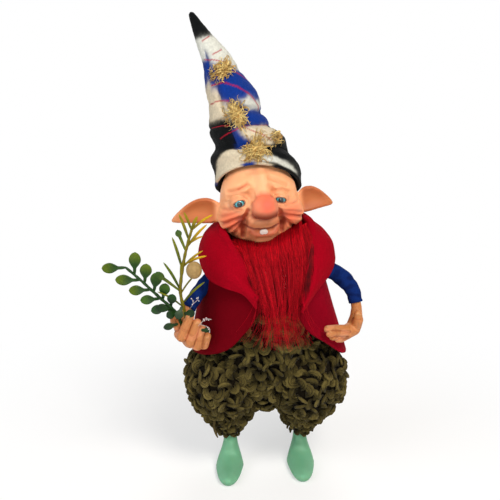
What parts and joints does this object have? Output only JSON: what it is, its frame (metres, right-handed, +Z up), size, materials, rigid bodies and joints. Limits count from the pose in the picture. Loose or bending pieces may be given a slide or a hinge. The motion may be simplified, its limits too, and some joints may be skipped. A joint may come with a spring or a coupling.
{
  "type": "elf figurine",
  "caption": "Standing elf doll with clay head, hands and shoes, cone hat, felt vest, looped wool trousers and a sprig of greenery in its hand.",
  "frame": {"origin": "on the floor under the centre of the figure's bounding box", "axes": "+Z up, the figure stands along it; the figure faces -Y, its right hand is at -X"},
  "size_m": [0.1846, 0.1125, 0.3462],
  "materials": {
    "skin": "satin polymer clay, blushed",
    "eye_glass": "gloss, painted iris under clear cover",
    "tooth": "semi gloss",
    "fleece": "napped polyester fleece, printed plaid",
    "wadding": "loose fibre",
    "raffia": "dry fibre",
    "beard_wool": "combed fibre",
    "felt": "pressed wool felt",
    "sleeve_cloth": "smooth tape wound on",
    "loop_wool": "looped yarn",
    "shoe_clay": "satin polymer clay",
    "body_cloth": "plain weave",
    "wire": "drawn",
    "leaf_plastic": "moulded, tips lighter",
    "needle_plastic": "moulded, tips yellow",
    "berry_wood": "varnished bead"
  },
  "bodies": {
    "root": {"head": "skin", "eye_right": "eye_glass", "eye_left": "eye_glass", "teeth": "tooth", "hat": "fleece", "hat_stuffing": "wadding", "raffia_top": "raffia", "raffia_middle": "raffia", "raffia_bottom": "raffia", "raffia_side": "raffia", "beard": "beard_wool", "vest": "felt", "sleeve_right": "sleeve_cloth", "sleeve_left": "sleeve_cloth", "hand_right": "skin", "hand_left": "skin", "trousers": "loop_wool", "shoe_right": "shoe_clay", "shoe_left": "shoe_clay", "torso": "body_cloth", "neck_wire": "wire", "arm_wire_right": "wire", "arm_wire_left": "wire", "leg_wire_right": "wire", "leg_wire_left": "wire", "leafy_sprig": "leaf_plastic", "needle_sprig": "needle_plastic", "berry": "berry_wood"}
  },
  "joints": []
}
